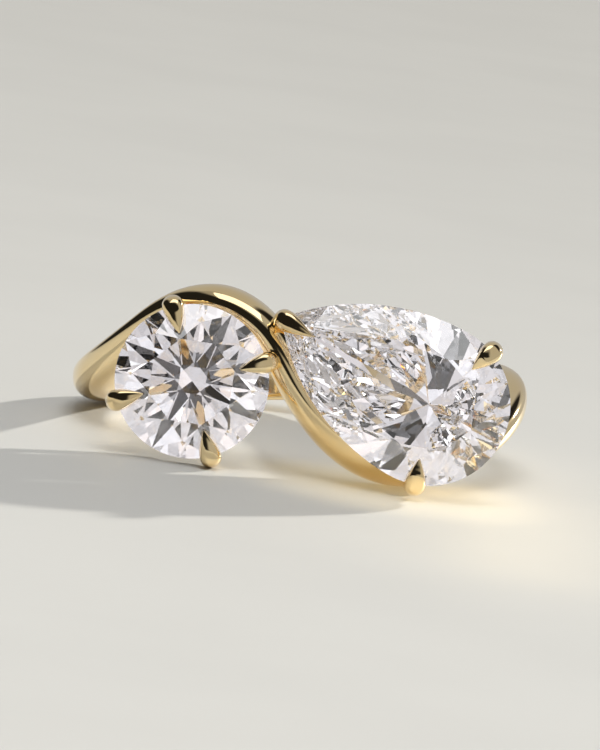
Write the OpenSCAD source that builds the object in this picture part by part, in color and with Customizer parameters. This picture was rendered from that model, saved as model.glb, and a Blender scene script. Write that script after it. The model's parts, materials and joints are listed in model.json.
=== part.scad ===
// Two-stone ring: a round and a pear brilliant in claws, one on each side of a band that
// runs between them as one wave. The ring lies on its side, as it comes to rest by itself.
//
// Hoop frame: X to the pear, -Y to the stones' tables, +Z along the finger hole.
// Stone frame: X to the right, Y up and Z out of the table, with the girdle at Z = 0.

/* [Band] */
// Inner diameter of the finger hole
finger_d = 16.5; // [14:0.1:22]
// Width of the band at the back, along the finger hole
hoop_w = 1.85; // [1.4:0.05:2.6]
// Thickness of the band at the back
hoop_t = 1.6; // [1.2:0.05:2.2]
// Width of the band between the stones
head_w = 1.5; // [1.2:0.05:2]
// Thickness of the band between the stones
head_t = 1.9; // [1.5:0.05:2.2]
// Height of the flat sides under the dome of the band
side_h = 0.5; // [0.3:0.05:0.8]
// Rise of the band over the round stone, to its middle line
hump_rise = 3.6; // [3.2:0.05:4]
// Drop of the band under the pear stone, to its middle line
trough_drop = 3.55; // [3.2:0.05:4]
// Lean of the dome towards the pear stone, where the band runs under its edge
dome_lean = 0.16; // [0:0.02:0.2]

/* [Round stone] */
// Girdle diameter of the round stone
round_d = 6.5; // [5.8:0.1:7.2]
// Distance of the round stone from the middle of the ring
round_x = 4.54; // [4:0.02:5.2]
// Height of the round stone over the hoop's middle plane
round_z = 0.25; // [-0.5:0.05:1]
// Turn of the round stone and of its claws
round_turn = 14; // [0:1:45]

/* [Pear stone] */
// Girdle length of the pear stone
pear_l = 10.62; // [9.6:0.02:11.6]
// Girdle width of the pear stone
pear_w = 6.84; // [6.2:0.02:7.4]
// Distance of the pear's round end, at its centre, from the middle of the ring
pear_x = 5.42; // [5:0.02:6]
// Height of the pear's round end, at its centre, over the hoop's middle plane
pear_z = -0.72; // [-1.2:0.02:0]
// Length lost from the pear's point, where it's blunt
point_blunt = 0.2; // [0.1:0.05:0.3]
// Direction of the pear's point
pear_turn = 149.7; // [140:0.1:160]
// Direction of the upper claw at the pear's round end, from its point
upper_claw_turn = 110; // [106:1:114]
// Direction of the lower claw at the pear's round end, from its point
lower_claw_turn = 110; // [106:1:114]

/* [Cut] */
// Height of both girdles over the inside of the finger hole
seat_h = 2.05; // [1.9:0.05:2.6]
// Thickness of the girdles
girdle_t = 0.2; // [0.18:0.01:0.26]
// Slope of the main crown facets
crown_angle = 34.5; // [32:0.1:36]
// Slope of the star facets
star_angle = 22; // [19:0.5:25]
// Height of the crowns over the girdle
crown_h = 0.96; // [0.8:0.02:1.1]
// Depth of the pavilions under the girdle
pavilion_h = 2.8; // [2.6:0.02:3]
// Length of the lower facets, as a share of the pavilion
lower_share = 0.78; // [0.7:0.01:0.85]

/* [Claws] */
// Width of a claw
claw_w = 0.92; // [0.7:0.02:1.1]
// Thickness of a claw outside the girdle
claw_t = 0.42; // [0.36:0.02:0.6]
// Reach of a claw over the round stone's crown
round_reach = 1.15; // [0.9:0.05:1.35]
// Reach of a claw over the crown at the pear's round end
pear_reach = 1.1; // [0.9:0.05:1.35]
// Reach of the claw over the pear's point
point_reach = 1.3; // [1.1:0.05:1.6]
// Depth of the middle of the rails that join the claws, under the girdles
rail_depth = 1.6; // [1.5:0.05:1.7]
// Distance of the middle of the rails inside the girdle
rail_in = 0.95; // [0.8:0.05:1.05]
// Height of the rails
rail_h = 0.6; // [0.5:0.05:0.7]
// Thickness of the rails
rail_t = 0.6; // [0.5:0.05:0.7]
// Gap between a stone and the metal
stone_gap = 0.04; // [0.03:0.01:0.06]

/* [Hidden] */
bore_r = finger_d / 2;
bore_reach = 3 * (hump_rise + trough_drop);
girdle_r = bore_r + seat_h;
round_r = round_d / 2;
lobe_r = pear_w / 2;
point_x = pear_l - lobe_r;
wing_r = (point_x * point_x + lobe_r * lobe_r) / (2 * lobe_r);
wing_angle = asin(point_x / wing_r);
// Where the two stones stand. Columns: X and Z of the middle in the hoop, turn
round_at = [-round_x, round_z, round_turn];
pear_at = [pear_x, pear_z, pear_turn];
gold = [0.86, 0.68, 0.36];
diamond = [0.9, 0.92, 0.95, 0.6];

// The line of the band round the hoop. Columns: turn from the middle of the head in degrees,
// rise as a share of hump_rise or trough_drop, share of the way from the back's section to
// the head's, and share of dome_lean.
BAND = [
    [-180, 0, 0, 0], [-150, 0, 0, 0], [-120, 0, 0, 0], [-100, 0.015, 0, 0],
    [-83, 0.085, 0.1, 0], [-68, 0.22, 0.5, 0], [-56, 0.41, 0.85, 0], [-45, 0.66, 1, 0],
    [-35, 0.94, 1, 0], [-24, 1.04, 1, 0], [-14, 0.87, 1, 0], [-7, 0.57, 1, 0],
    [-2, 0.07, 1, 0.1], [3, -0.3, 1, 0.4], [9, -0.61, 1, 0.8], [17, -0.87, 1, 1], [27, -1, 1, 1],
    [38, -1, 1, 1], [50, -0.84, 0.95, 1], [62, -0.6, 0.7, 0.6], [75, -0.36, 0.3, 0.2],
    [88, -0.16, 0, 0], [104, -0.02, 0, 0], [125, 0.01, 0, 0], [152, 0, 0, 0]
];
band_steps = 4;
// The inner edge of the band's section, down to where the finger hole cuts it. Columns: in
// from the flat side, and up from the hole, as shares of side_h.
BAND_EDGE = [[0, 0.45], [0.2, 0.12], [0.2, -0.5]];
band_dome_points = 12;
band_dome_power = 0.87;

// A claw is a row of arches. Each stands on a flat side that faces the stone, from its foot
// to its crown, both in shares of claw_t, and has a share of claw_w. The last column of each
// table is the power of the arch: 1 is round, and less is flatter on top.
// Over the crown. Columns: place of the flat side inwards as a share of the reach, the
// crown's offset outwards and upwards, width, power.
HOOK = [
    [0.03, 0.94, 1.28, 1, 0.8], [0.1, 0.75, 1.62, 1, 0.65], [0.26, 0.52, 1.52, 0.92, 0.5],
    [0.48, 0.24, 1.16, 0.72, 0.5], [0.7, 0.06, 0.72, 0.46, 0.5], [0.87, 0, 0.36, 0.24, 0.6],
    [1, 0, 0.08, 0.06, 0.8]
];
// Round the girdle. Columns: place of the flat side upwards as a share of the girdle's
// thickness, the crown's offset outwards and upwards, width, power.
ELBOW = [[-0.7, 1, -0.05, 0.9, 0.9], [0.1, 1.02, 0.2, 0.95, 0.95], [0.5, 0.95, 0.62, 1, 0.9]];
// Down to the rail. Columns: depth as a share of rail_depth, place inwards as a share of
// rail_in, the crown's offset outwards and upwards, width, power.
POST = [
    [1.05, 1.1, 0.75, -0.6, 0.6, 0.85], [0.7, 0.68, 0.8, -0.6, 0.62, 0.85],
    [0.38, 0.26, 0.9, -0.4, 0.72, 0.85]
];
// Down into the band, straight. Columns: depth as a share of the leg's, the crown's offset
// outwards, width, power.
LEG = [[1, 0.9, 0.85, 0.85], [0, 0.9, 0.85, 0.85]];
arch_points = 8;

// Main facets and joints on half of the pear's girdle, from the point round to the middle of
// the round end, as shares of its length
PEAR_STEPS = [0, 0.15, 0.3, 0.44, 0.57, 0.693, 0.8, 0.9, 1];
facet_steps = 4;

// Points and curves

function spline(a, b, c, d, t) =
    (a * pow(1 - t, 3) + b * (3 * pow(t, 3) - 6 * t * t + 4)
    + c * (-3 * pow(t, 3) + 3 * t * t + 3 * t + 1) + d * pow(t, 3)) / 6;
function spline_slope(a, b, c, d, t) =
    (-a * pow(1 - t, 2) + b * (3 * t * t - 4 * t) + c * (-3 * t * t + 2 * t + 1) + d * t * t) / 2;
function power(value, exponent) = sign(value) * pow(abs(value), exponent);
function mix(a, b, share) = a + (b - a) * share;
function in_hoop(at, p) =
    [at[0] + p[0] * cos(at[2]) - p[1] * sin(at[2]), -girdle_r - p[2],
    at[1] + p[0] * sin(at[2]) + p[1] * cos(at[2])];

// Band

function band_row(i) =
    let (count = len(BAND), row = BAND[(i + count) % count], rise = row[1])
    [row[0] + 360 * floor(i / count), rise * (rise > 0 ? hump_rise : trough_drop), row[2], row[3]];
function band_section(half_w, thick, lean) =
    let (side_r = bore_r + side_h, dome = thick - side_h)
    concat(
        [for (i = [0:band_dome_points])
            let (a = 180 * i / band_dome_points, high = power(sin(a), band_dome_power))
            [half_w * power(cos(a), band_dome_power) + lean * high, side_r + dome * high]],
        [for (row = BAND_EDGE) [-half_w + side_h * row[0], bore_r + side_h * row[1]]],
        [for (i = [len(BAND_EDGE) - 1:-1:0])
            let (row = BAND_EDGE[i]) [half_w - side_h * row[0], bore_r + side_h * row[1]]]);
function band_ring(i, t) =
    let (
        a = band_row(i - 1), b = band_row(i), c = band_row(i + 1), d = band_row(i + 2),
        at = spline(a, b, c, d, t), way = spline_slope(a, b, c, d, t),
        middle_r = bore_r + hoop_t / 2,
        slope = atan2(way[1], way[0] * PI / 180 * middle_r),
        wide = mix(hoop_w, head_w, at[2]), thick = mix(hoop_t, head_t, at[2])
    )
    [for (p = band_section(wide / 2, thick, dome_lean * at[3]))
        let (turn = at[0] - p[0] * sin(slope) / middle_r * 180 / PI)
        [p[1] * sin(turn), -p[1] * cos(turn), at[1] + p[0] * cos(slope)]];
band_rings = [for (i = [0:len(BAND) - 1]) for (k = [0:band_steps - 1]) band_ring(i, k / band_steps)];

// Skin over rings of equal length, as a closed loop or with its two ends filled

module skin(rings, looped) {
    sides = len(rings[0]);
    spans = looped ? len(rings) : len(rings) - 1;
    polyhedron(
        points = [for (ring = rings) each ring],
        faces = concat(
            [for (i = [0:spans - 1]) for (j = [0:sides - 1]) for (upper = [0, 1])
                let (
                    a = i * sides + j, b = i * sides + (j + 1) % sides,
                    c = ((i + 1) % len(rings)) * sides + (j + 1) % sides,
                    d = ((i + 1) % len(rings)) * sides + j
                )
                upper == 1 ? [c, b, a] : [d, c, a]],
            looped ? [] : [[for (j = [0:sides - 1]) j], [for (j = [sides - 1:-1:0]) spans * sides + j]]),
        convexity = 8);
}

// Cut stones. The girdle is a list of points all the way round, each of them
// [x, y, direction of the outward normal]. It has sixteen parts of facet_steps points: the
// main facets stand at the start of the even ones and the joints at the start of the odd ones.

function round_edge(k) = let (a = 22.5 * k) [round_r * cos(a), round_r * sin(a), a];

wing_length = wing_r * wing_angle * PI / 180;
pear_half = wing_length + PI / 2 * lobe_r;
function wing_edge(s) =
    let (a = 90 - wing_angle + s / wing_r * 180 / PI)
    s == 0 ? [point_x - point_blunt, 0, 0] : [wing_r * cos(a), lobe_r - wing_r + wing_r * sin(a), a];
function lobe_edge(s) = let (a = 90 + s / lobe_r * 180 / PI) [lobe_r * cos(a), lobe_r * sin(a), a];
function pear_edge(k) =
    let (
        half = k > 8 ? 16 - k : k, i = floor(half), after = PEAR_STEPS[min(i + 1, 8)],
        s = pear_half * mix(PEAR_STEPS[i], after, half - i),
        p = s < wing_length ? wing_edge(s) : lobe_edge(s - wing_length)
    )
    k > 8 ? [p[0], -p[1], -p[2]] : p;
round_girdle = [for (k = [0:16 * facet_steps - 1]) round_edge(k / facet_steps)];
pear_girdle = [for (k = [0:16 * facet_steps - 1]) pear_edge(k / facet_steps)];

// A plane is [normal, distance along it]
function plane_by(a, b, c) = let (n = cross(b - a, c - a)) [n, n * a];
function meet(p, q, r) =
    (p[1] * cross(q[0], r[0]) + q[1] * cross(r[0], p[0]) + r[1] * cross(p[0], q[0]))
    / (p[0] * cross(q[0], r[0]));
function on_plane(plane, p) =
    let (n = plane[0]) [p[0], p[1], (plane[1] - n[0] * p[0] - n[1] * p[1]) / n[2]];
function rim(p, z) = [p[0], p[1], z];
function crown_plane(p) =
    let (n = [sin(crown_angle) * cos(p[2]), sin(crown_angle) * sin(p[2]), cos(crown_angle)])
    [n, n * rim(p, girdle_t / 2)];
function culet() = [0, 0, -girdle_t / 2 - pavilion_h];
function culet_plane(p) =
    let (low = rim(p, -girdle_t / 2)) plane_by(culet(), low, low + [-sin(p[2]), cos(p[2]), 0]);
// A main facet's corner on the table, straight in from its place on the girdle
function table_corner(p) =
    let (run = crown_h / tan(crown_angle) / ([p[0], p[1]] * [cos(p[2]), sin(p[2])]))
    rim([p[0] * (1 - run), p[1] * (1 - run)], girdle_t / 2 + crown_h);
function star_plane(p, q) =
    let (
        a = table_corner(p), b = table_corner(q), way = (b - a) / norm(b - a),
        n = [way[1] * sin(star_angle), -way[0] * sin(star_angle), cos(star_angle)]
    )
    [n, n * a];
function star_tip(p, q) = meet(crown_plane(p), crown_plane(q), star_plane(p, q));
function lower_tip(p, q) =
    let (corner = meet(culet_plane(p), culet_plane(q), [[0, 0, 1], -girdle_t / 2]))
    mix(culet(), corner, (1 - lower_share) * norm([p[0], p[1]]) / norm([corner[0], corner[1]]));

function mains_of(girdle) = [for (i = [0:7]) girdle[2 * i * facet_steps]];
function star_tips_of(mains) = [for (i = [0:7]) star_tip(mains[i], mains[(i + 1) % 8])];
// A half facet's plane goes through its two places on the girdle and the tip it points to
function half_plane(girdle, part, tips, z) =
    plane_by(
        rim(girdle[part * facet_steps], z), rim(girdle[(part + 1) % 16 * facet_steps], z),
        tips[floor(part / 2)]);

module cut_stone(girdle) {
    count = len(girdle);
    step = facet_steps;
    mains = mains_of(girdle);
    star_tips = star_tips_of(mains);
    lower_tips = [for (i = [0:7]) lower_tip(mains[i], mains[(i + 1) % 8])];
    function edge(k, tips, z) = on_plane(half_plane(girdle, floor(k / step), tips, z), girdle[k]);
    upper = [for (k = [0:count - 1]) edge(k, star_tips, girdle_t / 2)];
    lower = [for (k = [0:count - 1]) edge(k, lower_tips, -girdle_t / 2)];
    // Where each list starts among the points
    table_0 = 0;
    star_0 = 8;
    upper_0 = 16;
    lower_0 = upper_0 + count;
    tip_0 = lower_0 + count;
    function arc(start, part) = [for (k = [part * step:(part + 1) * step]) start + k % count];
    function back(list) = [for (k = [len(list) - 1:-1:0]) list[k]];
    polyhedron(
        points = concat([for (p = mains) table_corner(p)], star_tips, upper, lower, lower_tips, [culet()]),
        faces = concat(
            [[for (i = [7:-1:0]) table_0 + i]],
            [for (i = [0:7]) let (j = (i + 1) % 8, h = (i + 7) % 8) each [
                [table_0 + i, table_0 + j, star_0 + i],
                [table_0 + i, star_0 + i, upper_0 + 2 * i * step, star_0 + h],
                concat([star_0 + i], back(arc(upper_0, 2 * i))),
                concat([star_0 + i], back(arc(upper_0, 2 * i + 1))),
                [tip_0 + 8, tip_0 + h, lower_0 + 2 * i * step, tip_0 + i],
                concat([tip_0 + i], arc(lower_0, 2 * i)),
                concat([tip_0 + i], arc(lower_0, 2 * i + 1))
            ]],
            [for (k = [0:count - 1]) let (m = (k + 1) % count)
                [upper_0 + k, upper_0 + m, lower_0 + m, lower_0 + k]]),
        convexity = 4);
}

module round_cut() {
    cut_stone(round_girdle);
}

module pear_cut() {
    cut_stone(pear_girdle);
}

// Claws, in the frame of their stone. A claw stands outside the girdle's edge, at a distance
// from the stone's centre, and turns back over the crown. A row of its line is [flat side
// outwards from the girdle's edge, flat side up from the girdle, crown's offset outwards,
// crown's offset up, width, power of the arch].

function crown_planes(girdle) =
    let (mains = mains_of(girdle), tips = star_tips_of(mains))
    concat(
        [for (m = mains) crown_plane(m)],
        [for (i = [0:7]) star_plane(mains[i], mains[(i + 1) % 8])],
        [for (part = [0:15]) half_plane(girdle, part, tips, girdle_t / 2)]);
round_planes = crown_planes(round_girdle);
pear_planes = crown_planes(pear_girdle);
function seat_up(claw, out) =
    let (far = claw[1] + out, x = far * cos(claw[2]), y = far * sin(claw[2]))
    stone_gap / cos(crown_angle) + min([for (p = claw[4]) (p[1] - p[0][0] * x - p[0][1] * y) / p[0][2]]);
function hook_line(claw) =
    [for (row = HOOK)
        let (out = -claw[0] * row[0])
        [out, seat_up(claw, out), claw_t * row[1], claw_t * row[2], claw_w * row[3], row[4]]];
elbow_line = [for (row = ELBOW)
    [stone_gap, girdle_t * row[0], claw_t * row[1], claw_t * row[2], claw_w * row[3], row[4]]];
post_line = [for (row = POST)
    [
        stone_gap - rail_in * row[1], -rail_depth * row[0],
        claw_t * row[2], claw_t * row[3], claw_w * row[4], row[5]
    ]];
function arch(row, edge, turn) =
    [for (k = [0:arch_points])
        let (
            a = 180 * k / arch_points, across = row[4] / 2 * power(cos(a), row[5]),
            height = power(sin(a), row[5]), out = edge + row[0] + height * row[2]
        )
        [
            out * cos(turn) + across * sin(turn), out * sin(turn) - across * cos(turn),
            row[1] + height * row[3]
        ]];
function claw_rings(claw) =
    [for (row = concat(post_line, elbow_line, hook_line(claw))) arch(row, claw[1], claw[2])];
function leg_rings(claw) =
    [for (row = LEG)
        let (line_row = [stone_gap, -claw[3] * row[0], claw_t * row[1], 0, claw_w * row[2], row[3]])
        arch(line_row, claw[1], claw[2])];

// Columns: reach, distance of the girdle's edge, turn from the stone's X axis, depth of the
// leg or 0, planes of the crown
round_claws = [
    [round_reach, round_r, 0, rail_depth * 0.75, round_planes],
    [round_reach, round_r, 90, rail_depth * 1.3, round_planes],
    [round_reach, round_r, 180, 0, round_planes],
    [round_reach, round_r, 270, 0, round_planes]
];
pear_claws = [
    [point_reach, point_x - point_blunt, 0, rail_depth * 0.75, pear_planes],
    [pear_reach, lobe_r, lower_claw_turn, 0, pear_planes],
    [pear_reach, lobe_r, -upper_claw_turn, 0, pear_planes]
];

module claw(claw) {
    skin(claw_rings(claw), false);
    if (claw[3] > 0) skin(leg_rings(claw), false);
}

// Rails that join the claws under the stones

module round_rail() {
    rail_r = round_r - rail_in;
    translate([0, 0, -rail_depth - rail_h / 2]) difference() {
        cylinder(r = rail_r + rail_t / 2, h = rail_h, $fn = 96);
        translate([0, 0, -rail_h]) cylinder(r = rail_r - rail_t / 2, h = 3 * rail_h, $fn = 96);
    }
}

module pear_disc(inset, height) {
    translate([0, 0, -height / 2]) {
        intersection() {
            cylinder(r = lobe_r - inset, h = height, $fn = 96);
            translate([-2 * pear_l, -pear_l, -height]) cube([2 * pear_l, 2 * pear_l, 3 * height]);
        }
        intersection() {
            translate([0, lobe_r - wing_r, 0]) cylinder(r = wing_r - inset, h = height, $fn = 240);
            translate([0, wing_r - lobe_r, 0]) cylinder(r = wing_r - inset, h = height, $fn = 240);
            translate([0, -pear_l, -height]) cube([2 * pear_l, 2 * pear_l, 3 * height]);
        }
    }
}

module pear_rail() {
    translate([0, 0, -rail_depth]) difference() {
        pear_disc(rail_in - rail_t / 2, rail_h);
        pear_disc(rail_in + rail_t / 2, 3 * rail_h);
    }
}

// Stands a child, drawn in the stone frame, in the hoop
module in_head(at) {
    translate([at[0], -girdle_r, at[1]]) rotate([90, 0, 0]) rotate([0, 0, at[2]]) children();
}

// How the ring lies. The floor touches it at three points: on the round stone's lower claw,
// on the pear's lower claw or the band beside it, and on the back of the band.

function claw_points(claw, at) = [for (ring = claw_rings(claw)) for (p = ring) in_hoop(at, p)];
function lowest(points, up) =
    let (heights = [for (p = points) p * up]) points[search(min(heights), heights)[0]];
round_foot = claw_points(round_claws[3], round_at);
pear_foot = concat(
    claw_points(pear_claws[1], pear_at),
    [for (ring = band_rings) for (p = ring) if (p[0] > 0 && p[1] < 0) p]);
back_foot = [for (ring = band_rings) for (p = ring) if (p[1] > 0) p];
function rest_up(up, rounds) =
    let (
        a = lowest(round_foot, up), b = lowest(pear_foot, up), c = lowest(back_foot, up),
        n = cross(b - a, c - a), next = n / norm(n) * sign(n[2])
    )
    rounds == 0 ? up : rest_up(next, rounds - 1);
floor_up = rest_up([0, 0, 1], 8);
roll = -atan2(floor_up[0], floor_up[2]);
tilt = atan2(floor_up[1], norm([floor_up[0], floor_up[2]]));
function turned(p) =
    let (
        q = [p[0] * cos(roll) + p[2] * sin(roll), p[1], p[2] * cos(roll) - p[0] * sin(roll)]
    )
    [q[0], q[1] * cos(tilt) - q[2] * sin(tilt), q[1] * sin(tilt) + q[2] * cos(tilt)];
function table_corners(girdle, at) = [for (p = mains_of(girdle)) in_hoop(at, table_corner(p))];
skin_points = [for (p = concat(
    [for (ring = band_rings) for (p = ring) if (norm([p[0], p[1]]) > bore_r) p],
    [for (c = round_claws) each claw_points(c, round_at)],
    [for (c = pear_claws) each claw_points(c, pear_at)],
    table_corners(round_girdle, round_at),
    table_corners(pear_girdle, pear_at))) turned(p)];
low_corner = [for (k = [0:2]) min([for (p = skin_points) p[k]])];
high_corner = [for (k = [0:2]) max([for (p = skin_points) p[k]])];
rest_shift = [-(low_corner[0] + high_corner[0]) / 2, -(low_corner[1] + high_corner[1]) / 2, -low_corner[2]];

module laid() {
    translate(rest_shift) rotate([tilt, 0, 0]) rotate([0, roll, 0]) children();
}

// Pieces

module gold_mount() {
    color(gold) laid() difference() {
        union() {
            skin(band_rings, true);
            in_head(round_at) {
                round_rail();
                for (c = round_claws) claw(c);
            }
            in_head(pear_at) {
                pear_rail();
                for (c = pear_claws) claw(c);
            }
        }
        translate([0, 0, -bore_reach / 2]) cylinder(r = bore_r, h = bore_reach, $fn = 180);
    }
}

module round_stone() {
    color(diamond) laid() in_head(round_at) round_cut();
}

module pear_stone() {
    color(diamond) laid() in_head(pear_at) pear_cut();
}

gold_mount();
round_stone();
pear_stone();
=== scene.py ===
"""Two-stone ring: a round and a pear brilliant in claws, on the two sides of a wave-shaped band."""

import json
import math

import bmesh
import bpy
import numpy as np
from bpy.props import FloatProperty, FloatVectorProperty, IntProperty, PointerProperty
from mathutils import Matrix, Vector
from mathutils.bvhtree import BVHTree


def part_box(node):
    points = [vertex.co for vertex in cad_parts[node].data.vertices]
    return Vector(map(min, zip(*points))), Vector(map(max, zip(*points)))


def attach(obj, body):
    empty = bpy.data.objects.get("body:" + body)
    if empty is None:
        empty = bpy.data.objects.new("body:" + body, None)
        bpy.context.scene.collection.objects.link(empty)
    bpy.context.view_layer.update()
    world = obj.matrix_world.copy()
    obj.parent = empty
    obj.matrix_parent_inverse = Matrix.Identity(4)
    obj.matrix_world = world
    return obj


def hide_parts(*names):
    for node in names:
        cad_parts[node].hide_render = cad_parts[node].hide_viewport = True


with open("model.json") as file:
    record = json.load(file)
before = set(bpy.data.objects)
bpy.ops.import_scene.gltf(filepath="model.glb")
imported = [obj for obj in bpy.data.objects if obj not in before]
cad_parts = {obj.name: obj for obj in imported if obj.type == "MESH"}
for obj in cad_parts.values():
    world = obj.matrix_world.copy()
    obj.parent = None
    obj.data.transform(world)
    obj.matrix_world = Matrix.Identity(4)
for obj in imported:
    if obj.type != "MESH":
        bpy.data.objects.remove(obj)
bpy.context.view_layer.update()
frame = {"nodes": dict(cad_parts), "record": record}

bl_info = {
    "name": "Two-stone ring",
    "version": (1, 0, 0),
    "blender": (4, 5, 0),
    "location": "3D View > Sidebar > Ring",
    "description": "Makes the gold mount and the finishes of a ring with a round and a pear stone",
    "category": "Object",
}

MM = 0.001
HOLE = next(m for m in frame["record"]["mounts"] if m["name"] == "finger_hole")

# How the hoop lies. In the hoop's own frame X goes to the pear, -Y to the stones' tables and
# Z along the finger hole.
HOOP_MIDDLE = Vector(HOLE["pos_m"])
HOOP_AXIS = Vector(HOLE["axis"])
HOOP_TURN = (
    Matrix.Rotation(math.atan2(-HOOP_AXIS.y, HOOP_AXIS.z), 3, "X")
    @ Matrix.Rotation(math.asin(HOOP_AXIS.x), 3, "Y")
)

# The line of the band round the hoop. Columns: turn from the middle of the head in degrees,
# rise as a share of hump_rise or trough_drop, share of the way from the back's section to
# the head's, and share of dome_lean.
BAND = [
    (-180, 0, 0, 0), (-150, 0, 0, 0), (-120, 0, 0, 0), (-100, 0.015, 0, 0),
    (-83, 0.085, 0.1, 0), (-68, 0.22, 0.5, 0), (-56, 0.41, 0.85, 0), (-45, 0.66, 1, 0),
    (-35, 0.94, 1, 0), (-24, 1.04, 1, 0), (-14, 0.87, 1, 0), (-7, 0.57, 1, 0),
    (-2, 0.07, 1, 0.1), (3, -0.3, 1, 0.4), (9, -0.61, 1, 0.8), (17, -0.87, 1, 1), (27, -1, 1, 1),
    (38, -1, 1, 1), (50, -0.84, 0.95, 1), (62, -0.6, 0.7, 0.6), (75, -0.36, 0.3, 0.2),
    (88, -0.16, 0, 0), (104, -0.02, 0, 0), (125, 0.01, 0, 0), (152, 0, 0, 0),
]

# Rows of a claw, from its foot to its tip, as in the part's source. A row gives the place of
# the claw's flat side, the way from it out to the crown of its arch, its width and the power
# of the arch: 1 is round, and less is flatter on top.
# Over the crown of the stone. Columns: place inwards as a share of the reach, the crown's
# offset outwards and upwards in claw_t, width, power.
HOOK = [
    (0.03, 0.94, 1.28, 1, 0.8), (0.1, 0.75, 1.62, 1, 0.65), (0.26, 0.52, 1.52, 0.92, 0.5),
    (0.48, 0.24, 1.16, 0.72, 0.5), (0.7, 0.06, 0.72, 0.46, 0.5), (0.87, 0, 0.36, 0.24, 0.6),
    (1, 0, 0.08, 0.06, 0.8),
]
# Round the girdle. Columns: place upwards in girdle_t, the crown's offset, width, power.
ELBOW = [(-0.7, 1, -0.05, 0.9, 0.9), (0.1, 1.02, 0.2, 0.95, 0.95), (0.5, 0.95, 0.62, 1, 0.9)]
# Down to the rail. Columns: depth in rail_depth, place inwards in rail_in, offset, width, power.
POST = [
    (1.05, 1.1, 0.75, -0.6, 0.6, 0.85), (0.7, 0.68, 0.8, -0.6, 0.62, 0.85),
    (0.38, 0.26, 0.9, -0.4, 0.72, 0.85),
]
# Down into the band. Columns: depth as a share of the leg's, the crown's offset, width, power.
LEG = [(1, 0.9, 0.85, 0.85), (0, 0.9, 0.85, 0.85)]
# Power of the rails' nearly square section
RAIL_POWER = 0.35
# Steps of half a circle in the sections of the claws and of the rails
ARCH_STEPS = 24
RAIL_STEPS = 12
# Rings of a rail in each span of its line
RAIL_RINGS = 3
# Edges of the fused mount that are sharper than this stay sharp
CREASE = math.radians(38)
# A mount with fewer faces than this wasn't fused
FEWEST_FACES = 1000

# The camera's rise over the hoop's middle plane, its distance and lift in metres, and its lens
# and sensor in millimetres
CAMERA_RISE = math.radians(1)
CAMERA_DISTANCE = 0.3
CAMERA_LIFT = 0.000335
CAMERA_LENS = 331.2
CAMERA_SENSOR = 36

# How strongly diamond bends light
DIAMOND_IOR = 2.417
# Half of the floor's width in metres
FLOOR_REACH = 2.0
# The light under the band: its place from the hoop's middle, straight down, and its cone
SPILL_PLACE = (0.0045, -0.0095, 0.03)
SPILL_AIM = (0.0045, -0.0095, -1)
SPILL_CONE = math.radians(26)
# Strength of the room that the gold mirrors where it's dark, what is added where it's pale,
# and how much of it is lost on metal that is seen through a stone
ROOM_DARK = 0.015
ROOM_PALE = 0.44
ROOM_LOSS = 0.85
# Cards that show through the stones: how small they are, how strong the black ones are, and
# what being grey, white and bright each adds
CARD_SCALE = 3.2
CARD_BLACK = 0.01
CARD_GREY = 0.35
CARD_WHITE = 0.48
CARD_BRIGHT = 0.4
# How often light may bounce, enough for the inside of a stone
BOUNCES = 32


def length(name, description, default_mm):
    """A length in metres, shown in the panel."""
    return FloatProperty(
        name=name, description=description, default=default_mm * MM, min=0, unit="LENGTH", precision=5
    )


def turn(name, description, default_deg):
    """An angle in radians, shown in the panel in degrees."""
    return FloatProperty(
        name=name, description=description, default=math.radians(default_deg), subtype="ANGLE"
    )


def share(name, description, default):
    """A plain share or power."""
    return FloatProperty(name=name, description=description, default=default, min=0)


def colour(name, description, default):
    """A colour of the finish or of a light."""
    return FloatVectorProperty(
        name=name, description=description, default=default, subtype="COLOR", min=0, max=1
    )


class BandSettings(bpy.types.PropertyGroup):
    """Sizes of the band."""

    finger_d: length("Finger hole", "Inner diameter of the finger hole", 2 * HOLE["dims"]["r_mm"])
    hoop_w: length("Back width", "Width of the band at the back, along the finger hole", 1.85)
    hoop_t: length("Back thickness", "Thickness of the band at the back", 1.6)
    head_w: length("Head width", "Width of the band between the stones", 1.5)
    head_t: length("Head thickness", "Thickness of the band between the stones", 1.9)
    side_h: length("Side height", "Height of the flat sides under the dome", 0.5)
    hump_rise: length("Hump rise", "Rise of the band over the round stone", 3.6)
    trough_drop: length("Trough drop", "Drop of the band under the pear stone", 3.55)
    dome_lean: length("Dome lean", "Lean of the dome towards the pear stone, under its edge", 0.16)
    dome_power: share("Dome power", "How full the dome of the section is", 0.87)
    steps: IntProperty(
        name="Steps", description="Rings of the band in each span of its line", default=16, min=4
    )


class StoneSettings(bpy.types.PropertyGroup):
    """Sizes and places of the stones that the claws and rails follow."""

    round_d: length("Round diameter", "Girdle diameter of the round stone", 6.5)
    round_x: length("Round distance", "Distance of the round stone from the middle", 4.54)
    round_z: length("Round height", "Height of the round stone over the middle plane", 0.25)
    round_turn: turn("Round turn", "Turn of the round stone and of its claws", 14)
    pear_l: length("Pear length", "Girdle length of the pear stone", 10.62)
    pear_w: length("Pear width", "Girdle width of the pear stone", 6.84)
    pear_x: length("Pear distance", "Distance of the pear's round end from the middle", 5.42)
    pear_drop: length("Pear drop", "Depth of the pear's round end under the middle plane", 0.72)
    point_blunt: length("Blunt point", "Length lost from the pear's point", 0.2)
    pear_turn: turn("Pear turn", "Direction of the pear's point", 149.7)
    seat_h: length("Seat height", "Height of the girdles over the finger hole", 2.05)
    girdle_t: length("Girdle thickness", "Thickness of the girdles", 0.2)
    crown_angle: turn("Crown angle", "Slope of the main crown facets", 34.5)


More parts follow.
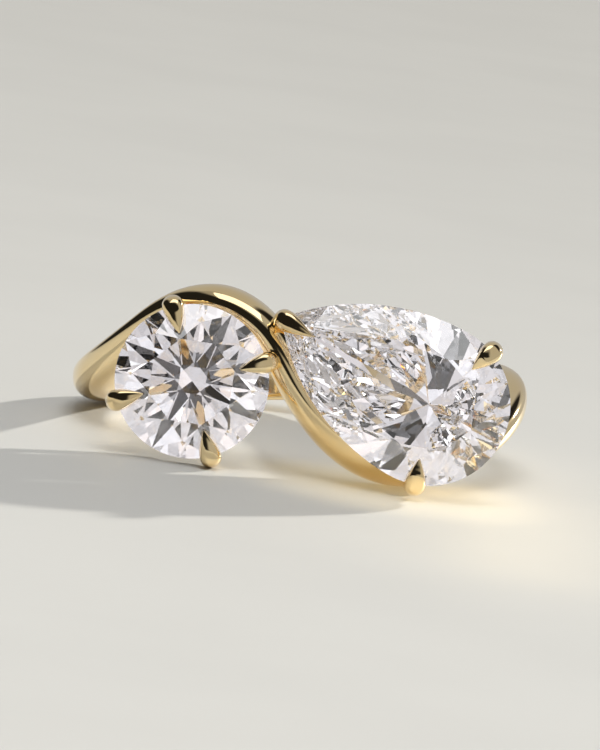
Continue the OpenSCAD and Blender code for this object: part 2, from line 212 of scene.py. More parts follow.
class ClawSettings(bpy.types.PropertyGroup):
    """Sizes of the claws and of the rails that join them."""

    claw_w: length("Claw width", "Width of a claw", 0.92)
    claw_t: length("Claw thickness", "Thickness of a claw outside the girdle", 0.42)
    lobe_claw_turn: turn("Lobe claws", "Direction of the claws at the round end, from the point", 110)
    round_reach: length("Round reach", "Reach of a claw over the round stone's crown", 1.15)
    pear_reach: length("Pear reach", "Reach of a claw over the pear's round end", 1.1)
    point_reach: length("Point reach", "Reach of the claw over the pear's point", 1.3)
    rail_depth: length("Rail depth", "Depth of the middle of the rails under the girdles", 1.6)
    rail_in: length("Rail inset", "Distance of the middle of the rails inside the girdle", 0.95)
    rail_h: length("Rail height", "Height of the rails", 0.6)
    rail_t: length("Rail thickness", "Thickness of the rails", 0.6)
    stone_gap: length("Stone gap", "Gap between a stone and the metal", 0.04)
    steps: IntProperty(
        name="Steps", description="Rings of a claw in each span of its line", default=6, min=2
    )


class FinishSettings(bpy.types.PropertyGroup):
    """Colours of the metal, the stones and the stage."""

    gold: colour("Gold", "Colour of the polished gold", (0.96, 0.78, 0.47))
    gold_deep: colour("Deep gold", "Colour of the gold where it's a little richer", (0.95, 0.74, 0.41))
    diamond: colour("Diamond", "Body colour of the stones", (0.99, 0.985, 0.99))
    floor: colour("Floor", "Colour of the plain floor", (0.62, 0.62, 0.6))
    key: colour("Key light", "Colour of the light that casts the shadow", (1.0, 0.96, 0.88))
    glow: colour("Glow", "Colour of the light that the ring throws on the floor", (1.0, 0.8, 0.45))


class Socket:
    """A socket whose sums add nodes: numbers go through Math nodes, vectors through Vector Math."""

    def __init__(self, tree, socket):
        self.tree = tree
        self.socket = socket

    def sum(self, operation, *values):
        inputs = dict(enumerate(values))
        if any(isinstance(v, Socket) and v.socket.type in ("VECTOR", "RGBA") for v in values):
            return self.tree.node("ShaderNodeVectorMath", inputs, operation=operation)
        return self.tree.node("ShaderNodeMath", inputs, operation=operation)

    def __add__(self, other):
        return self.sum("ADD", self, other)

    def __radd__(self, other):
        return self.sum("ADD", other, self)

    def __sub__(self, other):
        return self.sum("SUBTRACT", self, other)

    def __rsub__(self, other):
        return self.sum("SUBTRACT", other, self)

    def __mul__(self, other):
        return self.sum("MULTIPLY", self, other)

    def __rmul__(self, other):
        return self.sum("MULTIPLY", other, self)

    def __truediv__(self, other):
        return self.sum("DIVIDE", self, other)

    def __neg__(self):
        return self.sum("MULTIPLY", self, -1.0)

    def scaled(self, factor):
        """This vector times a number."""
        return self.tree.node("ShaderNodeVectorMath", {0: self, "Scale": factor}, operation="SCALE")

    def dot(self, other):
        """The dot product with another vector."""
        inputs = {0: self, 1: other}
        return self.tree.node("ShaderNodeVectorMath", inputs, out="Value", operation="DOT_PRODUCT")

    def part(self, axis):
        """One component of this vector."""
        return self.tree.node("ShaderNodeSeparateXYZ", {0: self}, out=axis)

    def step(self, low, high):
        """0 below low, 1 over high and smooth between them."""
        inputs = {"Value": self, "From Min": low, "From Max": high}
        return self.tree.node("ShaderNodeMapRange", inputs, interpolation_type="SMOOTHSTEP")


class Tree:
    """A node tree under construction."""

    def __init__(self, group):
        self.group = group

    def feed(self, socket, value):
        """Links a socket, or sets its own value."""
        if isinstance(value, Socket):
            self.group.links.new(value.socket, socket)
        elif isinstance(value, (list, tuple)) and value and isinstance(value[0], Socket):
            for one in value:
                self.group.links.new(one.socket, socket)
        elif socket.type == "RGBA" and len(value) == 3:
            socket.default_value = (*value, 1)
        else:
            socket.default_value = value

    def node(self, kind, inputs=None, out=0, **settings):
        """Adds one node, first its settings and then the value or link of each socket, and gives
        one of its outputs."""
        made = self.group.nodes.new(kind)
        for name, value in settings.items():
            setattr(made, name, value)
        for name, value in (inputs or {}).items():
            self.feed(made.inputs[name], value)
        return Socket(self, made.outputs[out]) if len(made.outputs) else made

    def blend(self, share, first, second):
        """A colour between two others."""
        inputs = {0: share, 6: first, 7: second}
        return self.node("ShaderNodeMix", inputs, out=2, data_type="RGBA")


class ShapeTree(Tree):
    """A Geometry Nodes tree with named inputs."""

    def __init__(self, name, **inputs):
        super().__init__(bpy.data.node_groups.new(name, "GeometryNodeTree"))
        face = self.group.interface
        face.new_socket("Geometry", in_out="INPUT", socket_type="NodeSocketGeometry")
        face.new_socket("Geometry", in_out="OUTPUT", socket_type="NodeSocketGeometry")
        for label, kind in inputs.items():
            face.new_socket(label.replace("_", " "), in_out="INPUT", socket_type="NodeSocket" + kind)
        self.entry = self.group.nodes.new("NodeGroupInput")

    def given(self, label):
        """An input of the tree."""
        return Socket(self, self.entry.outputs[label])

    def attribute(self, name):
        """A vector that the points carry."""
        return self.node("GeometryNodeInputNamedAttribute", {"Name": name}, data_type="FLOAT_VECTOR")

    def section(self):
        """The closed outline from the Section input, as a curve."""
        shape = self.node("GeometryNodeObjectInfo", {"Object": self.given("Section")}, out="Geometry")
        return self.node("GeometryNodeMeshToCurve", {0: shape})

    def end(self, shape):
        """Closes the tree with its last two nodes, so that it gives one mesh with its material."""
        whole = self.node("GeometryNodeRealizeInstances", {0: shape})
        inputs = {"Geometry": whole, "Material": self.given("Material")}
        dressed = self.node("GeometryNodeSetMaterial", inputs)
        self.feed(self.group.nodes.new("NodeGroupOutput").inputs[0], dressed)


def wire(name, lines, closed, **attributes):
    """An object of plain lines, with a vector at each point for each attribute."""
    points, edges = [], []
    for line in lines:
        first, count = len(points), len(line)
        points.extend(line)
        edges.extend((first + k, first + k + 1) for k in range(count - 1))
        if closed:
            edges.append((first + count - 1, first))
    mesh = bpy.data.meshes.new(name)
    mesh.from_pydata([tuple(p) for p in points], edges, [])
    for label, values in attributes.items():
        flat = [x for line in values for vector in line for x in vector]
        mesh.attributes.new(label, "FLOAT_VECTOR", "POINT").data.foreach_set("vector", flat)
    made = bpy.data.objects.new(name, mesh)
    bpy.context.scene.collection.objects.link(made)
    return made


def grown(holder, tree, **inputs):
    """Runs a tree on an object, whose mesh becomes the plain result."""
    modifier = holder.modifiers.new("Shape", "NODES")
    modifier.node_group = tree.group
    for item in tree.group.interface.items_tree:
        label = item.name.replace(" ", "_")
        if item.in_out == "INPUT" and label in inputs:
            modifier[item.identifier] = inputs[label]
    bpy.context.view_layer.update()
    shaped = holder.evaluated_get(bpy.context.evaluated_depsgraph_get())
    result = bpy.data.meshes.new_from_object(shaped)
    holder.modifiers.remove(modifier)
    holder.data = result
    return holder


def powered(value, power):
    """A signed power."""
    return math.copysign(abs(value) ** power, value)


def in_hoop(at, point):
    """A point of a stone's frame, in the ring as it lies. The stone's Z comes out of its table."""
    x, z, turned, girdle_r = at
    c, s = math.cos(turned), math.sin(turned)
    across, up, out = point
    local = Vector((x + across * c - up * s, -girdle_r - out, z + across * s + up * c))
    return HOOP_TURN @ local + HOOP_MIDDLE


def in_hoop_way(at, way):
    """A direction of a stone's frame, in the ring as it lies."""
    return in_hoop(at, way) - in_hoop(at, (0, 0, 0))


def band_tree():
    """The band: its section swept along its unrolled line, then rolled round the finger hole."""
    tree = ShapeTree(
        "Band round the finger hole", Section="Object", Material="Material", Hole_radius="Float",
        Middle_radius="Float", Side_height="Float", Back_width="Float", Head_width="Float",
        Back_thickness="Float", Head_thickness="Float",
    )
    line = tree.node("GeometryNodeMeshToCurve", {0: tree.given("Geometry")})
    swept = tree.node("GeometryNodeCurveToMesh", {"Curve": line, "Profile Curve": tree.section()})
    rule, lean, way, section = (tree.attribute(name) for name in ("rule", "lean", "way", "section"))
    middle, side = tree.given("Middle radius"), tree.given("Side height")
    head = rule.part("Z")

    def between(label):
        back = tree.given("Back " + label)
        return back + (tree.given("Head " + label) - back) * head

    slope = way.part("Y").sum("ARCTAN2", way.part("Y"), way.part("X"))
    up = section.part("Y")
    domed = up.sum("MAXIMUM", up - 1.0, 0.0)
    across = section.part("X") * between("width") * 0.5
    across = across + section.part("Z") * side + domed * lean.part("X")
    radius = tree.given("Hole radius") + side * up.sum("MINIMUM", up, 1.0)
    radius = radius + (between("thickness") - side) * domed
    round_it = (rule.part("X") - across * slope.sum("SINE", slope)) / middle
    place = tree.node("ShaderNodeCombineXYZ", {
        "X": radius * round_it.sum("SINE", round_it),
        "Y": -(radius * round_it.sum("COSINE", round_it)),
        "Z": rule.part("Y") + across * slope.sum("COSINE", slope),
    })
    tree.end(tree.node("GeometryNodeSetPosition", {"Geometry": swept, "Position": place}))
    return tree


def spline(a, b, c, d, t):
    """A uniform cubic spline through a table, at the share t of the way from b to c."""
    return (
        a * (1 - t) ** 3 + b * (3 * t**3 - 6 * t * t + 4)
        + c * (-3 * t**3 + 3 * t * t + 3 * t + 1) + d * t**3
    ) / 6


def spline_way(a, b, c, d, t):
    """The direction of that spline."""
    return (-a * (1 - t) ** 2 + b * (3 * t * t - 4 * t) + c * (-3 * t * t + 2 * t + 1) + d * t * t) / 2


def band_line(band):
    """The unrolled line of the band, from BAND. Its points are each the way along, the rise and
    the share to the head's section, and each has the lean of the dome and the line's direction."""
    middle = band_middle(band)
    rows = []
    for k in range(-1, len(BAND) + 2):
        at, rise, head, lean = BAND[k % len(BAND)]
        turned = math.radians(at) + 2 * math.pi * (k // len(BAND))
        drop = band.hump_rise if rise > 0 else band.trough_drop
        rows.append(np.array((turned * middle, rise * drop, head, lean * band.dome_lean)))
    points, leans, ways = [], [], []
    for four in zip(rows, rows[1:], rows[2:], rows[3:]):
        for k in range(band.steps):
            here = spline(*four, k / band.steps)
            points.append(here[:3])
            leans.append((here[3], 0, 0))
            ways.append(spline_way(*four, k / band.steps)[:3])
    return points, leans, ways


def band_middle(band):
    """Radius of the middle of the band at the back, on which its line is unrolled."""
    return band.finger_d / 2 + band.hoop_t / 2


def band_section(band):
    """The outline of the band's section. X is a share of half its width, Y goes from 0 at the
    hole over 1 at the top of the flat side to 2 at the top of the dome, and Z is a further way
    across, in heights of the flat side."""
    dome_steps, edge_steps, inner_steps = 48, 6, 8
    # The rounded inner edge: how far it goes up and in, in heights of the flat side
    edge_up, edge_in = 0.45, 0.28
    side_middle = (1 + edge_up) / 2
    points = []
    for k in range(dome_steps + 1):
        a = math.pi * k / dome_steps
        across, high = (powered(value, band.dome_power) for value in (math.cos(a), math.sin(a)))
        points.append((across, 1 + high, 0))
    rounding = []
    for k in range(edge_steps + 1):
        a = math.pi / 2 * k / edge_steps
        rounding.append((edge_in * (1 - math.cos(a)), edge_up * (1 - math.sin(a))))
    points.append((-1, side_middle, 0))
    points += [(-1, up, inwards) for inwards, up in rounding]
    for k in range(1, inner_steps):
        t = k / inner_steps
        points.append((2 * t - 1, 0, edge_in * (1 - 2 * t)))
    points += [(1, up, -inwards) for inwards, up in reversed(rounding)]
    points.append((1, side_middle, 0))
    return points


def sweep_tree():
    """Bars that follow smooth lines: a section stands across each line on two vectors that its
    points carry."""
    tree = ShapeTree("Bars along lines", Section="Object", Material="Material", Steps="Int")
    line = tree.node("GeometryNodeMeshToCurve", {0: tree.given("Geometry")})
    line = tree.node("GeometryNodeCurveSplineType", {0: line}, spline_type="CATMULL_ROM")
    finer = {"Geometry": line, "Resolution": tree.given("Steps")}
    line = tree.node("GeometryNodeSetSplineResolution", finer)
    sweep = {"Curve": line, "Profile Curve": tree.section(), "Fill Caps": True}
    swept = tree.node("GeometryNodeCurveToMesh", sweep)
    names = ("line", "across", "crown", "section")
    line_at, across, crown, section = (tree.attribute(name) for name in names)
    power = tree.attribute("power").part("X")

    def powered_part(axis):
        value = section.part(axis)
        size = value.sum("ABSOLUTE", value)
        return value.sum("SIGN", value) * size.sum("POWER", size, power)

    place = line_at + across.scaled(powered_part("X")) + crown.scaled(powered_part("Y"))
    tree.end(tree.node("GeometryNodeSetPosition", {"Geometry": swept, "Position": place}))
    return tree


def solder_tree():
    """Fuses the band with the claws and the rails into one body."""
    tree = ShapeTree("Soldered mount", Claws="Object", Rails="Object", Material="Material", Crease="Float")
    parts = [tree.given("Geometry")]
    for label in ("Claws", "Rails"):
        shape = tree.node("GeometryNodeObjectInfo", {"Object": tree.given(label)}, out="Geometry")
        island = tree.node("GeometryNodeInputMeshIsland", out="Island Index")
        split = {"Geometry": shape, "Group ID": island}
        parts.append(tree.node("GeometryNodeSplitToInstances", split, domain="POINT"))
    fused = tree.node("GeometryNodeMeshBoolean", {1: parts}, operation="UNION", solver="MANIFOLD")
    faces = {"Geometry": fused, "Shade Smooth": True}
    smooth = tree.node("GeometryNodeSetShadeSmooth", faces, domain="FACE")
    angle = tree.node("GeometryNodeInputMeshEdgeAngle")
    sharp = angle.sum("GREATER_THAN", angle, tree.given("Crease"))
    edges = {"Geometry": smooth, "Selection": sharp, "Shade Smooth": False}
    tree.end(tree.node("GeometryNodeSetShadeSmooth", edges, domain="EDGE"))
    return tree


def stone_surface(node):
    """The surface of a stone, to seat a claw on."""
    mesh = frame["nodes"][node].data
    points = [v.co for v in mesh.vertices]
    return BVHTree.FromPolygons(points, [tuple(p.vertices) for p in mesh.polygons])


def claw_rows(claws, stones, surface, at, edge, direction, reach):
    """The rows of a claw in its stone's frame: place of the flat side outwards from the centre
    and up, the crown's offset outwards and up, width, and the power of the arch."""
    t, gap = claws.claw_t, claws.stone_gap
    rows = [
        (edge + gap - claws.rail_in * inwards, -claws.rail_depth * deep, out * t, up * t, width, power)
        for deep, inwards, out, up, width, power in POST
    ]
    rows += [
        (edge + gap, stones.girdle_t * high, out * t, up * t, width, power)
        for high, out, up, width, power in ELBOW
    ]
    # The crown is looked for from above, straight down to the girdle
    above = 3 * MM
    down = -in_hoop_way(at, (0, 0, 1))
    for inwards, out, up, width, power in HOOK:
        far = edge - reach * inwards
        start = in_hoop(at, (far * math.cos(direction), far * math.sin(direction), above))
        hit, _, _, drop = surface.ray_cast(start, down)
        if hit is None:
            raise RuntimeError("a claw stands outside its stone")
        seat = above - drop + gap / math.cos(stones.crown_angle)
        rows.append((far, seat, out * t, up * t, width, power))
    return rows


def claw_lines(band, stones, claws):
    """Lines of the seven claws and of their legs, with the vectors of their sections."""
    round_r, lobe_r = stones.round_d / 2, stones.pear_w / 2
    point_x = stones.pear_l - lobe_r - stones.point_blunt
    lobe = claws.lobe_claw_turn
    deep = claws.rail_depth
    # Columns: stone's node, its place, distance of its edge, direction, reach, depth of the leg
    table = [
        ("round_stone", round_place(band, stones), round_r, 0, claws.round_reach, 0.75 * deep),
        ("round_stone", round_place(band, stones), round_r, math.pi / 2, claws.round_reach, 1.3 * deep),
        ("round_stone", round_place(band, stones), round_r, math.pi, claws.round_reach, 0),
        ("round_stone", round_place(band, stones), round_r, -math.pi / 2, claws.round_reach, 0),
        ("pear_stone", pear_place(band, stones), point_x, 0, claws.point_reach, 0.75 * deep),
        ("pear_stone", pear_place(band, stones), lobe_r, lobe, claws.pear_reach, 0),
        ("pear_stone", pear_place(band, stones), lobe_r, -lobe, claws.pear_reach, 0),
    ]
    lines, across, crown, powers = [], [], [], []
    for node, at, edge, direction, reach, leg in table:
        rows_of_bars = [claw_rows(claws, stones, stone_surface(node), at, edge, direction, reach)]
        if leg:
            side = edge + claws.stone_gap
            rows_of_bars.append([
                (side, -leg * low, claws.claw_t * out, 0, width, power) for low, out, width, power in LEG
            ])
        c, s = math.cos(direction), math.sin(direction)
        for rows in rows_of_bars:
            lines.append([in_hoop(at, (far * c, far * s, up)) for far, up, *_ in rows])
            crown.append([in_hoop_way(at, (out * c, out * s, high)) for _, _, out, high, _, _ in rows])
            halves = [claws.claw_w / 2 * width for *_, width, _ in rows]
            across.append([in_hoop_way(at, (half * s, -half * c, 0)) for half in halves])
            powers.append([(power, 0, 0) for *_, power in rows])
    return lines, across, crown, powers


def round_place(band, stones):
    """Where the round stone stands: X and Z in the hoop, turn, and distance of its girdle."""
    return -stones.round_x, stones.round_z, stones.round_turn, band.finger_d / 2 + stones.seat_h


def pear_place(band, stones):
    """Where the pear's round end stands."""
    return stones.pear_x, -stones.pear_drop, stones.pear_turn, band.finger_d / 2 + stones.seat_h


def pear_outline(stones, inset, steps):
    """Points and outward directions round the pear's girdle, moved inwards by inset."""
    lobe_r = stones.pear_w / 2
    point_x = stones.pear_l - lobe_r
    wing_r = (point_x**2 + lobe_r**2) / (2 * lobe_r)
    wing = wing_r - inset
    tip = math.acos((wing_r - lobe_r) / wing)
    half = []
    for k in range(steps):
        a = tip * (1 - k / steps)
        half.append((wing * math.sin(a), lobe_r - wing_r + wing * math.cos(a), math.pi / 2 - a))
    for k in range(steps + 1):
        a = math.pi / 2 * (1 + k / steps)
        half.append(((lobe_r - inset) * math.cos(a), (lobe_r - inset) * math.sin(a), a))
    return half + [(x, -y, -a) for x, y, a in reversed(half[1:-1])]


def rail_lines(band, stones, claws):
    """Lines of the two rails under the stones, with the vectors of their sections."""
    round_steps, pear_steps = 32, 16
    circle = []
    radius = stones.round_d / 2 - claws.rail_in
    for k in range(round_steps):
        a = 2 * math.pi * k / round_steps
        circle.append((radius * math.cos(a), radius * math.sin(a), a))
    loops = [
        (round_place(band, stones), circle),
        (pear_place(band, stones), pear_outline(stones, claws.rail_in, pear_steps)),
    ]
    lines, across, crown, powers = [], [], [], []
    for at, loop in loops:
        lines.append([in_hoop(at, (x, y, -claws.rail_depth)) for x, y, _ in loop])
        half = claws.rail_t / 2
        across.append([in_hoop_way(at, (half * math.cos(a), half * math.sin(a), 0)) for _, _, a in loop])
        crown.append([in_hoop_way(at, (0, 0, claws.rail_h / 2)) for _ in loop])
        powers.append([(RAIL_POWER, 0, 0) for _ in loop])
    return lines, across, crown, powers


def section_wire(name, points):
    """The closed outline of a section, small enough to add nothing by itself."""
    tiny = 1e-6
    return wire(name, [[Vector(p) * tiny for p in points]], True, section=[points])


def circle_points(steps, count):
    """Points of a circle of radius 1, with so many steps on half of it."""
    turns = [math.pi * k / steps for k in range(count)]
    return [(math.cos(a), math.sin(a), 0) for a in turns]


def bars(name, tree, lines, closed, section, material, steps):
    """Bars along lines, as one object with a plain mesh."""
    line, across, crown, power = lines
    holder = wire(name, line, closed, line=line, across=across, crown=crown, power=power)
    shape = section_wire(name + "_section", section)
    grown(holder, tree, Section=shape, Material=material, Steps=steps)
    bpy.data.objects.remove(shape)
    face_out(holder.data)
    return holder


def face_out(mesh):
    """Turns every closed part's faces outwards."""
    work = bmesh.new()
    work.from_mesh(mesh)
    bmesh.ops.recalc_face_normals(work, faces=work.faces)
    work.to_mesh(mesh)
    work.free()


def within(mesh, node):
    """Keeps every point of a mesh inside its CAD solid's box."""
    low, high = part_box(node)
    places = np.empty(3 * len(mesh.vertices))
    mesh.vertices.foreach_get("co", places)
    mesh.vertices.foreach_set("co", np.clip(places.reshape(-1, 3), low, high).ravel())
    mesh.update()


def new_material(name):
    """An empty material, as a tree."""
    material = bpy.data.materials.new(name)
    material.use_nodes = True
    material.node_tree.nodes.clear()
    return material, Tree(material.node_tree)


def surface_of(tree, shader):
    """Ends a material's tree."""
    tree.node("ShaderNodeOutputMaterial", {"Surface": shader})


def polished_gold(finish):
    """Polished yellow gold: slight waves from polishing, a faint haze and tiny hairlines, all of
    them with scales in cells a metre."""
    material, tree = new_material("polished_gold")
    place = tree.node("ShaderNodeTexCoord", out="Object")
    tone = tree.node("ShaderNodeTexNoise", {"Vector": place, "Scale": 350.0, "Detail": 3.0})
    haze = tree.node("ShaderNodeTexNoise", {"Vector": place, "Scale": 1400.0, "Detail": 4.0})
    wave = tree.node("ShaderNodeTexNoise", {"Vector": place, "Scale": 420.0, "Detail": 1.0})
    drawn = tree.node("ShaderNodeMapping", {"Vector": place, "Scale": (1, 1, 12)})
    hairline = tree.node("ShaderNodeTexNoise", {"Vector": drawn, "Scale": 9000.0, "Detail": 2.0})
    base = tree.blend(tone.step(0.35, 0.65), tuple(finish.gold), tuple(finish.gold_deep))
    height = wave * 0.6 + hairline * 0.004
    bump = tree.node("ShaderNodeBump", {"Strength": 0.35, "Distance": 0.00002, "Height": height})
    gold = tree.node("ShaderNodeBsdfPrincipled", {
        "Base Color": base, "Metallic": 1.0, "Roughness": 0.035 + 0.05 * haze, "Normal": bump,
    })
    surface_of(tree, gold)
    return material


def cut_diamond(finish, name, at):
    """Clear diamond with polished facets and a frosted girdle."""
    material, tree = new_material(name)
    place = tree.node("ShaderNodeTexCoord", out="Object")
    normal = tree.node("ShaderNodeNewGeometry", out="True Normal")
    axis = in_hoop_way(at, (0, 0, 1))
    lean = normal.dot(tuple(axis))
    girdle = 1.0 - lean.sum("ABSOLUTE", lean).step(0.08, 0.12)
    cloud = tree.node("ShaderNodeTexNoise", {"Vector": place, "Scale": 500.0, "Detail": 2.0})
    stone = tree.node("ShaderNodeBsdfPrincipled", {
        "Base Color": tuple(finish.diamond), "Roughness": girdle * (0.25 + 0.1 * cloud),
        "IOR": DIAMOND_IOR, "Transmission Weight": 1.0,
    })
    surface_of(tree, stone)
    return material


def pale_floor(finish):
    """Plain pale plaster with a faint cloudiness."""
    material, tree = new_material("pale_floor")
    place = tree.node("ShaderNodeTexCoord", out="Object")
    cloud = tree.node("ShaderNodeTexNoise", {"Vector": place, "Scale": 60.0, "Detail": 5.0})
    darker = tuple(c * 0.97 for c in finish.floor)
    base = tree.blend(cloud.step(0.3, 0.7), tuple(finish.floor), darker)
    floor = tree.node("ShaderNodeBsdfPrincipled", {"Base Color": base, "Roughness": 0.55})
    surface_of(tree, floor)
    return material


def studio_light(kind, name, place, aim, power, tint, mirrored):
    """A light that the camera doesn't see, placed and aimed from the hoop's middle."""
    data = bpy.data.lights.new(name, kind)
    data.energy = power
    data.color = tint
    light = bpy.data.objects.new(name, data)
    turned = (Vector(place) - Vector(aim)).to_track_quat("Z", "Y").to_matrix().to_4x4()
    light.matrix_world = Matrix.Translation(HOOP_MIDDLE + Vector(place)) @ turned
    light.visible_camera = False
    light.visible_glossy = light.visible_transmission = mirrored
    bpy.context.scene.collection.objects.link(light)
    return data


def studio_lights(finish):
    """The light that casts the shadow, two soft ones, and two that warm the floor."""
    middle = (0, 0, 0)
    cool, soft, warm = (0.97, 0.985, 1.0), (1.0, 0.98, 0.95), tuple(finish.glow)
    glow_place, glow_aim = (0.0098, -0.0165, 0.002), (0.0098, -0.0165, -1)
    # Columns: name, place and aim from the hoop's middle, size both ways, power, colour, and
    # whether polished surfaces mirror it
    table = [
        ("key", (2.46, 2.82, 1.2), middle, (0.12, 0.12), 210.0, tuple(finish.key), True),
        ("softbox", (-0.02, -0.1, 0.5), middle, (0.42, 0.42), 0.75, cool, True),
        ("fill", (0.0, -0.1, 0.2), middle, (0.1, 0.1), 0.15, soft, False),
        ("glow", glow_place, glow_aim, (0.004, 0.022), 0.00025, warm, False),
    ]
    for name, place, aim, size, power, tint, mirrored in table:
        data = studio_light("AREA", name, place, aim, power, tint, mirrored)
        data.shape = "RECTANGLE"
        data.size, data.size_y = size
    # Light that the stones would throw on the floor under the band
    spill = studio_light("SPOT", "spill", SPILL_PLACE, SPILL_AIM, 0.02, warm, False)
    spill.spot_size = SPILL_CONE
    spill.spot_blend = 1.0
    spill.shadow_soft_size = 0.0
    spill.use_shadow = False


def room_light(right, away, up):
    """How light the room is that the gold mirrors, from 0 to 1."""
    # A dark room in front and on the left; a pale wall on the right and behind
    wall = (right + away * (0.55 * up.step(0.08, 0.3) - 0.05)).step(0.0, 0.12)
    behind = away.step(0.1, 0.3)
    ceiling = (up + 0.5 * right).step(0.6, 0.75)
    lit = wall.sum("MAXIMUM", wall, behind)
    lit = lit.sum("MAXIMUM", lit, 0.7 * ceiling)
    # Dark cards, on the left and high behind on the right
    left_card = (-right).step(0.3, 0.5) * up.step(0.1, 0.25)
    right_card = right.step(0.4, 0.5) * up.step(0.35, 0.45) * away.step(0.0, 0.2)
    return lit * (1.0 - left_card) * (1.0 - right_card)


def studio_world():
    """The room that the gold mirrors, and the cards that show through the stones."""
    world = bpy.data.worlds.new("studio")
    world.use_nodes = True
    world.node_tree.nodes.clear()
    tree = Tree(world.node_tree)
    ray = tree.node("ShaderNodeTexCoord", out="Generated")
    ways = ((1, 0, 0), (0, 1, 0), (0, 0, 1))
    right, away, up = (ray.dot(tuple(HOOP_TURN @ Vector(way))) for way in ways)
    lit = room_light(right, away, up)
    # Metal seen through a stone mirrors a darker room, so that the stones stay clear of its colour
    inside = tree.node("ShaderNodeLightPath", out="Transmission Depth")
    loss = ROOM_LOSS * inside.sum("GREATER_THAN", inside, 0.5)
    level = (ROOM_DARK + ROOM_PALE * lit) * (1.0 - loss)
    room = tree.node("ShaderNodeBackground", {"Color": (1.0, 0.985, 0.955), "Strength": level})
    # Cards all round, black, grey, white or bright, with a gap in front
    cards = tree.node("ShaderNodeTexVoronoi", {"Vector": ray, "Scale": CARD_SCALE}, out="Color")
    pick = cards.part("X")
    tint = tree.blend(cards.part("Y"), (1.0, 0.93, 0.93), (0.94, 0.94, 1.0))
    bright = CARD_GREY + CARD_WHITE * pick.step(0.27, 0.28) + CARD_BRIGHT * cards.part("Z").step(0.8, 0.81)
    gap = (-away).step(0.948, 0.962)
    card_level = CARD_BLACK + bright * pick.step(0.21, 0.22) * (1.0 - gap)
    sparkle = tree.node("ShaderNodeBackground", {"Color": tint, "Strength": card_level})
    through = tree.node("ShaderNodeLightPath", out="Is Transmission Ray")
    background = tree.node("ShaderNodeMixShader", {0: through, 1: room, 2: sparkle})
    tree.node("ShaderNodeOutputWorld", {"Surface": background})
    return world


class RING_OT_camera(bpy.types.Operator):
    """Sets the camera at the photograph's angle to the ring"""

    bl_idname = "ring.camera"
    bl_label = "Camera"

    def execute(self, context):
        back = HOOP_TURN @ Vector((0, -math.cos(CAMERA_RISE), math.sin(CAMERA_RISE)))
        up = HOOP_TURN @ Vector((0, math.sin(CAMERA_RISE), math.cos(CAMERA_RISE)))
        right = HOOP_TURN @ Vector((1, 0, 0))
        data = bpy.data.cameras.new("camera")
        data.lens = CAMERA_LENS
        data.sensor_width = CAMERA_SENSOR
        data.clip_start, data.clip_end = 0.01, 10
        camera = bpy.data.objects.new("camera", data)
        place = HOOP_MIDDLE + back * CAMERA_DISTANCE + up * CAMERA_LIFT
        turned = Matrix((right, up, back)).transposed().to_4x4()
        camera.matrix_world = Matrix.Translation(place) @ turned
        context.scene.collection.objects.link(camera)
        context.scene.camera = camera
        return {"FINISHED"}


class RING_OT_gold_mount(bpy.types.Operator):
    """Makes the gold mount: the band, the claws and the rails, fused into one body"""

    bl_idname = "ring.gold_mount"
    bl_label = "Gold mount"

    def execute(self, context):
        scene = context.scene
        band, stones, claws = scene.ring_band, scene.ring_stones, scene.ring_claws
        gold = polished_gold(scene.ring_finish)
        points, leans, ways = band_line(band)
        mount = wire("gold_mount_body", [points], True, rule=[points], lean=[leans], way=[ways])
        section = section_wire("band_section", band_section(band))
        grown(
            mount, band_tree(), Section=section, Material=gold, Hole_radius=band.finger_d / 2,
            Middle_radius=band_middle(band), Side_height=band.side_h, Back_width=band.hoop_w,
            Head_width=band.head_w, Back_thickness=band.hoop_t, Head_thickness=band.head_t,
        )
        bpy.data.objects.remove(section)
        mount.data.transform(Matrix.Translation(HOOP_MIDDLE) @ HOOP_TURN.to_4x4())
        face_out(mount.data)
        tree = sweep_tree()
        arch = circle_points(ARCH_STEPS, ARCH_STEPS + 1)
        square = circle_points(RAIL_STEPS, 2 * RAIL_STEPS)
        claw_bars = bars("claws", tree, claw_lines(band, stones, claws), False, arch, gold, claws.steps)
        rail_bars = bars("rails", tree, rail_lines(band, stones, claws), True, square, gold, RAIL_RINGS)
        grown(mount, solder_tree(), Claws=claw_bars, Rails=rail_bars, Material=gold, Crease=CREASE)
        for helper in (claw_bars, rail_bars):
            bpy.data.objects.remove(helper)
        if len(mount.data.polygons) < FEWEST_FACES:
            raise RuntimeError("the gold mount could not be fused")
        within(mount.data, "gold_mount")
        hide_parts("gold_mount")
        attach(mount, "root")
        return {"FINISHED"}


class RING_OT_stones(bpy.types.Operator):
    """Gives the two cut stones their diamond"""

    bl_idname = "ring.stones"
    bl_label = "Stones"

    def execute(self, context):
        scene = context.scene
        band, stones, finish = scene.ring_band, scene.ring_stones, scene.ring_finish
        places = {"round_stone": round_place(band, stones), "pear_stone": pear_place(band, stones)}
        for node, at in places.items():
            data = frame["nodes"][node].data
            data.materials.clear()
            data.materials.append(cut_diamond(finish, node + "_diamond", at))
        return {"FINISHED"}


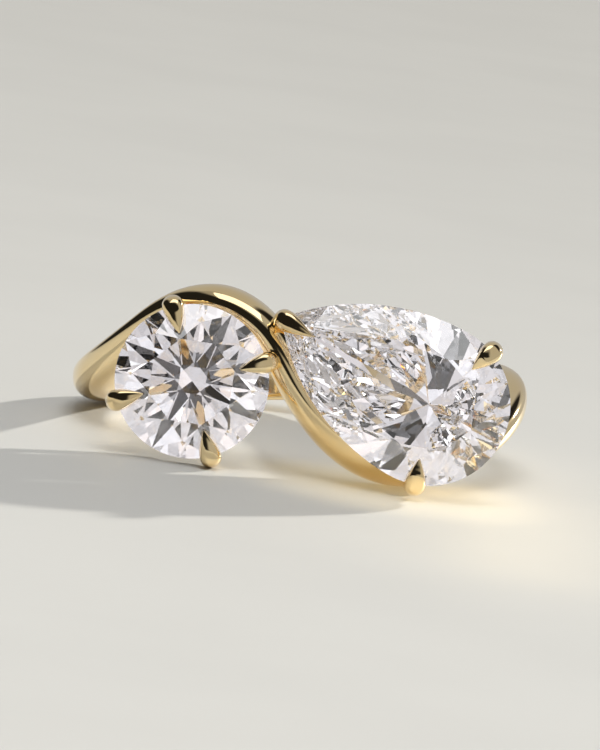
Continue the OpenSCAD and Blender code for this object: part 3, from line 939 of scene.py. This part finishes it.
class RING_OT_stage(bpy.types.Operator):
    """Makes the plain floor and the studio light"""

    bl_idname = "ring.stage"
    bl_label = "Stage"

    def execute(self, context):
        finish = context.scene.ring_finish
        mesh = bpy.data.meshes.new("floor")
        low, high = -FLOOR_REACH, FLOOR_REACH
        corners = [(low, low, 0), (high, low, 0), (high, high, 0), (low, high, 0)]
        mesh.from_pydata(corners, [], [(0, 1, 2, 3)])
        floor = bpy.data.objects.new("floor", mesh)
        mesh.materials.append(pale_floor(finish))
        context.scene.collection.objects.link(floor)
        # The stones sparkle with the cards round them and not with the floor
        floor.visible_transmission = False
        studio_lights(finish)
        context.scene.world = studio_world()
        cycles = context.scene.cycles
        cycles.max_bounces = BOUNCES
        cycles.transmission_bounces = BOUNCES
        cycles.glossy_bounces = BOUNCES
        context.scene.view_settings.view_transform = "Standard"
        return {"FINISHED"}


STEPS = (RING_OT_camera, RING_OT_gold_mount, RING_OT_stones, RING_OT_stage)


class RING_PT_panel(bpy.types.Panel):
    """Sizes, finishes and steps of the ring"""

    bl_label = "Two-stone ring"
    bl_idname = "RING_PT_panel"
    bl_space_type = "VIEW_3D"
    bl_region_type = "UI"
    bl_category = "Ring"

    def draw(self, context):
        for step in STEPS:
            self.layout.operator(step.bl_idname)
        for name in GROUPS:
            group = getattr(context.scene, name)
            box = self.layout.box()
            for key in group.__annotations__:
                box.prop(group, key)


GROUPS = {
    "ring_band": BandSettings,
    "ring_stones": StoneSettings,
    "ring_claws": ClawSettings,
    "ring_finish": FinishSettings,
}


def register():
    for kind in (*GROUPS.values(), *STEPS, RING_PT_panel):
        bpy.utils.register_class(kind)
    for name, kind in GROUPS.items():
        setattr(bpy.types.Scene, name, PointerProperty(type=kind))


def unregister():
    for name in GROUPS:
        delattr(bpy.types.Scene, name)
    for kind in (RING_PT_panel, *reversed(STEPS), *reversed(GROUPS.values())):
        bpy.utils.unregister_class(kind)


def main():
    """Makes the whole scene."""
    register()
    bpy.ops.ring.camera()
    bpy.ops.ring.gold_mount()
    bpy.ops.ring.stones()
    bpy.ops.ring.stage()


if __name__ == "__main__":
    main()
